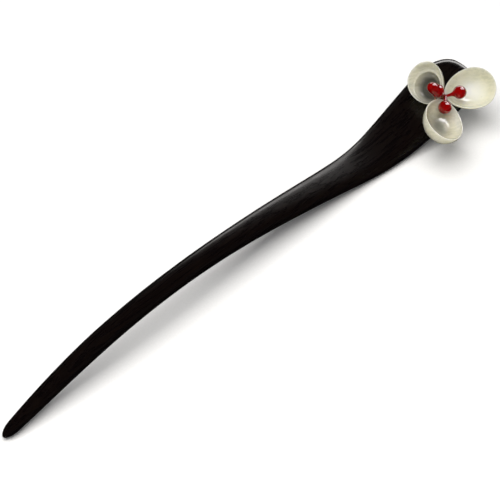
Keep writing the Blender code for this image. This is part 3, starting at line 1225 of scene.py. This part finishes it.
@dataclass
class WireStem:
    """The copper wires that hold the petals and drops, and the turns that bind them."""

    wire_radius: float = 0.18
    binding_radius: float = 0.15
    petal_ring: float = 1.02
    stamen_ring: float = 0.39
    binding_pitch: float = 0.4
    binding_turns: int = 2
    binding_points: int = 24
    # How high over the seat the cement collar is, and the first turn over the collar
    collar_height: float = 0.4
    binding_start: float = 0.5
    gap: float = 0.3
    # Behind the head: how wide a bend is, and where a petal's wire is folded flat
    bend: float = 0.6
    fold_radius: float = 1.7
    # The straight run out of the wood, above the seat, and where the wires part, below the hub
    shank: tuple[float, float] = (-0.4, 1.6)
    petal_crown: float = 4.0
    stamen_foot: float = 0.5
    stamen_crown: float = 3.0
    # How far the drops' wires draw together at the hub
    gather: float = 0.6
    # Where a petal's wire comes up under the petal, enters its hole and ends, along the petal
    hook: tuple[float, float, float] = (-0.8, 0.1, 1.7)
    finish: CopperWire = CopperWire()

    def draw(self, route: list[Vector], radius: float) -> bpy.types.Object:
        """Draw one round wire.

        Args:
            route: The points that it goes through, in metres.
            radius: Its radius.

        Returns:
            The wire as a closed mesh.
        """
        curve = bpy.data.curves.new("wire", "CURVE")
        curve.dimensions = "3D"
        curve.bevel_depth = radius * MM
        curve.bevel_resolution = 4
        curve.resolution_u = 8
        curve.use_fill_caps = True
        line = curve.splines.new("NURBS")
        line.points.add(len(route) - 1)
        for point, place in zip(line.points, route):
            point.co = (*place, 1)
        line.order_u = 3
        line.use_endpoint_u = True
        wire = bpy.data.objects.new("wire", curve)
        bpy.context.scene.collection.objects.link(wire)
        only(wire)
        bpy.ops.object.convert(target="MESH")
        shade(bpy.context.object, 60)
        return bpy.context.object

    def petal_route(self, stick: Stick, hub: Vector, petal: Petal) -> list[Vector]:
        """Route a wire from the recess, through the bore, into the hole at a petal's tip.

        Args:
            stick: The stick that it goes through.
            hub: Where the three glass necks meet, in metres.
            petal: The petal.

        Returns:
            The points of its route, in metres.
        """
        seat = stick.seat()
        top = frame_at(hub, X_AXIS, hub - seat.translation)
        place = petal.placing(hub)
        turn = math.atan2(petal.tip[1], petal.tip[0])
        rear, ring, bend = self.rear(stick), self.petal_ring * MM, self.bend * MM
        start, entry, end = (Vector((along, 0, -petal.hole_depth)) * MM for along in self.hook)
        return [
            seat @ polar(stick.recess_radius * MM - bend, turn, rear),
            seat @ polar(self.fold_radius * MM, turn, rear),
            seat @ polar(ring, turn, rear + bend),
            *(seat @ polar(ring, turn, height * MM) for height in self.shank),
            top @ polar(ring, turn, -self.petal_crown * MM),
            place @ (start - bend * Z_AXIS),
            place @ entry,
            place @ end,
        ]

    def stamen_route(self, stick: Stick, hub: Vector, stamen: Stamen) -> list[Vector]:
        """Route a wire from the recess, up the middle of the bundle, into a drop's neck.

        Args:
            stick: The stick that it goes through.
            hub: Where the three glass necks meet, in metres.
            stamen: The drop.

        Returns:
            The points of its route, in metres.
        """
        seat = stick.seat()
        top = frame_at(hub, X_AXIS, hub - seat.translation)
        turn, ring = math.radians(stamen.heading), self.stamen_ring * MM
        return [
            seat @ polar(ring, turn, self.rear(stick)),
            seat @ polar(ring, turn, self.stamen_foot * MM),
            top @ polar(ring, turn, -self.stamen_crown * MM),
            top @ polar(ring * self.gather, turn, -stamen.neck_radius * MM),
        ]

    def rear(self, stick: Stick) -> float:
        """Return how far from the seat the wires end behind the head, in metres."""
        return stick.back_depth() + (stick.cover_thickness + self.gap + self.bend) * MM

    def binding_route(self, stick: Stick) -> list[Vector]:
        """Wind the binding round the bundle, over the collar.

        Args:
            stick: The stick that the collar is on.

        Returns:
            The points of its turns, in metres.
        """
        seat = stick.seat()
        coil = (self.petal_ring + self.wire_radius + self.gap + self.binding_radius) * MM
        low = (self.collar_height + self.binding_start) * MM
        shares = [k / self.binding_points for k in range(self.binding_points * self.binding_turns + 1)]
        return [
            seat @ polar(coil, math.tau * share, low + self.binding_pitch * MM * share) for share in shares
        ]

    def build(
        self, stick: Stick, hub: Vector, petals: list[Petal], stamens: list[Stamen]
    ) -> list[bpy.types.Object]:
        """Lay every wire, and wind the binding round them.

        Args:
            stick: The stick that they go through.
            hub: Where the three glass necks meet, in metres.
            petals: The petals, each with one wire.
            stamens: The drops, each with one wire.

        Returns:
            The wires.
        """
        made = []
        for petal in petals:
            name = petal.side.value
            wire = self.draw(self.petal_route(stick, hub, petal), self.wire_radius)
            made.append(fit(wire, "copper_petal_" + name, "copper_wire", "petal_wire_" + name))
        for stamen in stamens:
            name = stamen.side.value
            wire = self.draw(self.stamen_route(stick, hub, stamen), self.wire_radius)
            made.append(fit(wire, "copper_drop_" + name, "copper_wire", "stamen_wire_" + name))
        binding = self.draw(self.binding_route(stick), self.binding_radius)
        made.append(fit(binding, "copper_binding", "copper_wire", "binding_wire"))
        return made

    def dress(self, wires: list[bpy.types.Object]) -> None:
        """Give the wires their copper."""
        dress(self.finish.make(), *wires)


@dataclass
class Flower:
    """The petals, the drops and their wires, all placed from the hub where the glass necks meet."""

    hub: Vector = field(default_factory=lambda: Vector((23.0, -7.0, 15.1)) * MM)
    petals: list[Petal] = field(
        default_factory=lambda: [
            Petal(
                *(Side.LEFT, 67, 14, -41.5, (-2.65, 1.5, -1.65)),
                *(13.3, 11.2, 4.8, 0.15),
                Hollow(
                    wall=((0.9, 0.5), (0.83, 1.15), (0.785, 1.35), (0.755, 1.22), (0.735, 1.25)),
                    well=((0.71, 1.7), (0.675, 2.3), (0.56, 3.2), (0.36, 3.85), (0.15, 4.1)),
                    offset=(-0.9, 0.5),
                    fade=0.35,
                ),
                # Its last colour is painted shade: the dark wood under its thin floor
                PaleJade("jade_grey_white", "#d3d0be", "#c1bfad", "#dedbc9", "#30312f", painted_through_share=0.88),
            ),
            Petal(
                *(Side.END, -30, 5.5, 28.3, (0.6, 0.75, -0.7)),
                *(15.45, 12.25, 5.0, 0.16),
                Hollow(
                    wall=((0.92, 0.35), (0.87, 0.9), (0.82, 1.5)),
                    well=((0.76, 2.15), (0.64, 3.0), (0.48, 3.7), (0.3, 4.1), (0.14, 4.25)),
                ),
                # Its last colour is painted light: the white table glowing through its thin floor
                PaleJade(
                    *("jade_cream", "#e2dfc8", "#cfcfb8", "#ece8cf", "#fffdea"),
                    painted_through_share=1.0,
                    clearness=(0.05, 0.02),
                ),
            ),
            Petal(
                *(Side.STEM, -143.5, 8.4, -28.2, (-0.2, -0.87, -1.4)),
                *(16.9, 12.5, 6.0, 0.09),
                Hollow(
                    wall=((0.92, 0.4), (0.86, 1.1), (0.78, 1.8)),
                    well=((0.66, 2.6), (0.56, 3.2), (0.44, 3.55), (0.28, 3.8), (0.12, 3.88)),
                    offset=(-0.7, 0.5),
                    lean=(-1.0, 1.0),
                ),
                # Its last colour is painted shade in its thin floor
                PaleJade("jade_green_white", "#e0dcc8", "#cccab6", "#ebe6d2", "#74776c", painted_through_share=0.8),
            ),
        ]
    )
    stamens: list[Stamen] = field(
        default_factory=lambda: [
            Stamen(Side.LEFT, 139, 43, 3.35, tail=1.85),
            Stamen(Side.END, -31, 7, 4.3),
            Stamen(Side.STEM, -140, -4, 4.3),
        ]
    )
    stem: WireStem = field(default_factory=WireStem)
    glass: RedGlass = RedGlass()

    def build(self, stick: Stick) -> None:
        """Make and dress every piece of the flower.

        Args:
            stick: The stick that it is wired to.
        """
        for petal in self.petals:
            petal.dress(petal.build(self.hub))
        red = self.glass.make()
        for stamen in self.stamens:
            dress(red, stamen.build(self.hub))
        self.stem.dress(self.stem.build(stick, self.hub, self.petals, self.stamens))


@dataclass
class Cement:
    """The cement round the flower's foot and behind the inlay, which keeps its CAD shape."""

    nodes: tuple[str, ...] = ("front_cement_collar", "rear_cement_pad")
    finish: ClearCement = ClearCement()

    def dress(self, nodes: dict[str, bpy.types.Object]) -> None:
        """Give the two CAD nodes their finish, on their own slots.

        Args:
            nodes: The frame's nodes by name.
        """
        material = self.finish.make()
        for name in self.nodes:
            dress(material, nodes[name])
            LOG.info("%s: CAD node with a new finish", name)


# The room


@dataclass
class Lamp:
    """A soft box that shines at the pin from a direction."""

    name: str
    towards: tuple[float, float, float]
    distance: float
    size: tuple[float, float]
    watts: float
    colour: str
    # Whether it shows in polished surfaces, and whether it lights what it shines on
    mirrored: bool = True
    lights: bool = True
    # The starts of the names of the pieces that flags keep it off
    kept_off: str = ""

    def hang(self, target: Vector) -> None:
        """Hang the lamp so that it faces a point.

        Args:
            target: The point, in metres.
        """
        data = bpy.data.lights.new(self.name, "AREA")
        data.shape = "RECTANGLE"
        data.size, data.size_y = self.size
        data.energy = self.watts
        data.color = linear(self.colour)[:3]
        lamp = bpy.data.objects.new(self.name, data)
        way = Vector(self.towards).normalized()
        lamp.location = target + way * self.distance
        lamp.rotation_euler = way.to_track_quat("Z", "Y").to_euler()
        lamp.visible_glossy = self.mirrored
        lamp.visible_diffuse = self.lights
        if self.kept_off:
            lit = bpy.data.collections.new("lit_by_" + self.name)
            for piece in bpy.context.scene.objects:
                if not piece.name.startswith(tuple(self.kept_off.split())):
                    lit.objects.link(piece)
            lamp.light_linking.receiver_collection = lit
        bpy.context.scene.collection.objects.link(lamp)


@dataclass
class Studio:
    """A white table under soft boxes, in a pale room, and the camera.

    The pale room and the key box, which hangs above and a little towards the pin's point, light the
    pin. The side box and the back strip only show as highlights in polish, and flags keep the side box
    off the wood.
    """

    aim: Vector = field(default_factory=lambda: Vector((-48.9, 0.6, 0)) * MM)
    azimuth: float = -44.8
    elevation: float = 50.0
    distance: float = 0.5898
    lens: float = 151.6
    sensor: float = 36.0
    # The nearest that the camera sees, and the table's side, in metres
    near: float = 0.01
    table_side: float = 8.0
    board: tuple[tuple[float, str], tuple[float, str]] = ((0.3, "#fafafa"), (0.7, "#fefefe"))
    fibre_size: float = 0.6
    room_colour: str = "#ffffff"
    # What polish mirrors, by the height that it faces: dark underneath, paler at the walls, dim overhead
    mirrored_room: tuple[tuple[float, str], ...] = ((0.0, "#2c2b2b"), (0.08, "#97979c"), (0.5, "#3a3a3e"))
    room_strength: float = 0.27
    lamps: list[Lamp] = field(
        default_factory=lambda: [
            Lamp("key_box", (-0.22, -0.02, 0.97), 0.9, (0.8, 0.8), 9.2, "#fffdfa", mirrored=False),
            Lamp(
                *("side_box", (0.765, 0.018, 0.643), 0.9, (0.5, 0.8), 7.6, "#fdfaff"),
                lights=False,
                kept_off="ebony back_inlay",
            ),
            Lamp("back_strip", (0.78, 0.56, 0.24), 0.9, (0.8, 0.22), 2.2, "#fbf8f6", lights=False),
        ]
    )

    def build_table(self, height: float) -> None:
        """Lay the table top.

        Args:
            height: Its height, in metres.
        """
        bpy.ops.object.select_all(action="DESELECT")
        place = (self.aim.x, self.aim.y, height)
        bpy.ops.mesh.primitive_plane_add(size=self.table_side, location=place)
        table = bpy.context.object
        table.name = "table_top"
        material, tree, shader = blank_material("white_board")
        where = add_node(tree, "ShaderNodeTexCoord", {}).outputs["Object"]
        paper, _ = two_tone(tree, where, self.fibre_size, self.board, noise={"Detail": 2.0})
        tree.links.new(paper, shader.inputs["Base Color"])
        shader.inputs["Roughness"].default_value = 0.9
        shader.inputs["Specular IOR Level"].default_value = 0.1
        dress(material, table)
        table.visible_glossy = False
        table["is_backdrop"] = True

    def light_room(self) -> None:
        """Make the room white, and dimmer in what the pin's polish mirrors."""
        world = bpy.data.worlds.new("room")
        bpy.context.scene.world = world
        world.use_nodes = True
        tree = world.node_tree
        way = add_node(tree, "ShaderNodeTexCoord", {}).outputs["Generated"]
        height = add_node(tree, "ShaderNodeSeparateXYZ", {}, {"Vector": way})
        mirrored = add_node(
            tree,
            "ShaderNodeValToRGB",
            {"stops": [(at, linear(code)) for at, code in self.mirrored_room]},
            {"Fac": height.outputs["Z"]},
        )
        ray = add_node(tree, "ShaderNodeLightPath", {})
        shown = add_node(
            tree,
            "ShaderNodeMix",
            {"data_type": "RGBA", 6: linear(self.room_colour)},
            {0: ray.outputs["Is Glossy Ray"], 7: mirrored.outputs["Color"]},
        )
        background = tree.nodes["Background"]
        tree.links.new(shown.outputs[2], background.inputs["Color"])
        strength = add_node(
            tree,
            "ShaderNodeMapRange",
            {"To Min": self.room_strength, "To Max": 1.0},
            {"Value": ray.outputs["Is Camera Ray"]},
        )
        tree.links.new(strength.outputs["Result"], background.inputs["Strength"])

    def place_camera(self) -> None:
        """Set the camera on its stand, looking down at the pin from beside its point."""
        data = bpy.data.cameras.new("camera")
        data.lens = self.lens
        data.sensor_width = self.sensor
        data.clip_start = self.near
        camera = bpy.data.objects.new("camera", data)
        a, e = math.radians(self.azimuth), math.radians(self.elevation)
        back = Vector((math.sin(a) * math.cos(e), -math.cos(a) * math.cos(e), math.sin(e)))
        camera.location = self.aim + back * self.distance
        camera.rotation_euler = back.to_track_quat("Z", "Y").to_euler()
        bpy.context.scene.collection.objects.link(camera)
        bpy.context.scene.camera = camera

    def build(self, floor: float) -> None:
        """Set up the table, the room, the lamps and the camera.

        Args:
            floor: The table's height, in metres.
        """
        self.build_table(floor)
        self.light_room()
        for lamp in self.lamps:
            lamp.hang(self.aim)
        self.place_camera()
        bpy.context.scene.view_settings.view_transform = "Standard"


def main() -> None:
    """Load the frame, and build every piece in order."""
    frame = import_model()
    cad_low, cad_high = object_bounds()
    bpy.ops.object.select_all(action="DESELECT")
    stick = Stick()
    bar = stick.build()
    cover = stick.build_cover()
    stick.dress(bar, cover)
    Flower().build(stick)
    Cement().dress(frame["nodes"])
    Studio().build(cad_low.z)


if __name__ == "__main__":
    main()
